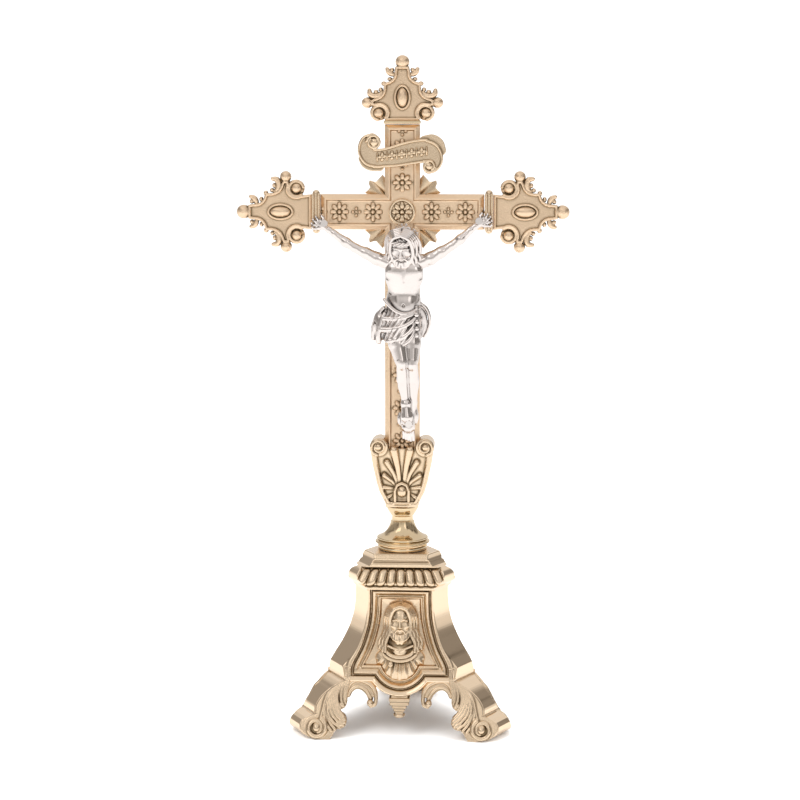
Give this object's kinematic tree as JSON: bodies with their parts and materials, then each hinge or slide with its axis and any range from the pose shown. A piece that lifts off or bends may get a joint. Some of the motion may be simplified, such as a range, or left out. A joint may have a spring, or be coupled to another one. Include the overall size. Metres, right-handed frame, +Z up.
{
  "type": "altar cross",
  "caption": "Standing altar cross: a cast three-footed base, a turned stem and shell knop, and a framed cross with fleuron ends and a silvered figure.",
  "frame": {"origin": "middle of the object's bounding box, on the surface that it stands on", "axes": "+Z up, the figure and the front of the cross face -Y, +X to the right of a person looking at the front"},
  "size_m": [0.177, 0.1057, 0.36],
  "materials": {
    "cast_brass": "cast and chased, lacquered, darker in its recesses",
    "polished_brass": "turned and polished",
    "silver_plate": "bright silver plate over a brass casting",
    "steel": "plain turned steel"
  },
  "bodies": {
    "root": {"base_casting": "cast_brass", "corpus_body": "silver_plate", "corpus_left_arm": "silver_plate", "corpus_right_arm": "silver_plate", "cross_body": "cast_brass", "crossing_rosette": "cast_brass", "foot_nut": "polished_brass", "foot_screw": "silver_plate", "glory_plate": "cast_brass", "left_collar": "polished_brass", "left_fleuron": "cast_brass", "left_fleuron_stud": "steel", "left_hand_nut": "polished_brass", "left_hand_screw": "silver_plate", "right_collar": "polished_brass", "right_fleuron": "cast_brass", "right_fleuron_stud": "steel", "right_hand_nut": "polished_brass", "right_hand_screw": "silver_plate", "rosette_nut": "polished_brass", "shell_knop": "cast_brass", "stem_turning": "polished_brass", "tie_rod": "steel", "tie_rod_nut": "steel", "tie_rod_washer": "steel", "titulus_nut": "polished_brass", "titulus_scroll": "cast_brass", "top_collar": "polished_brass", "top_fleuron": "cast_brass", "top_fleuron_stud": "steel"}
  },
  "joints": []
}
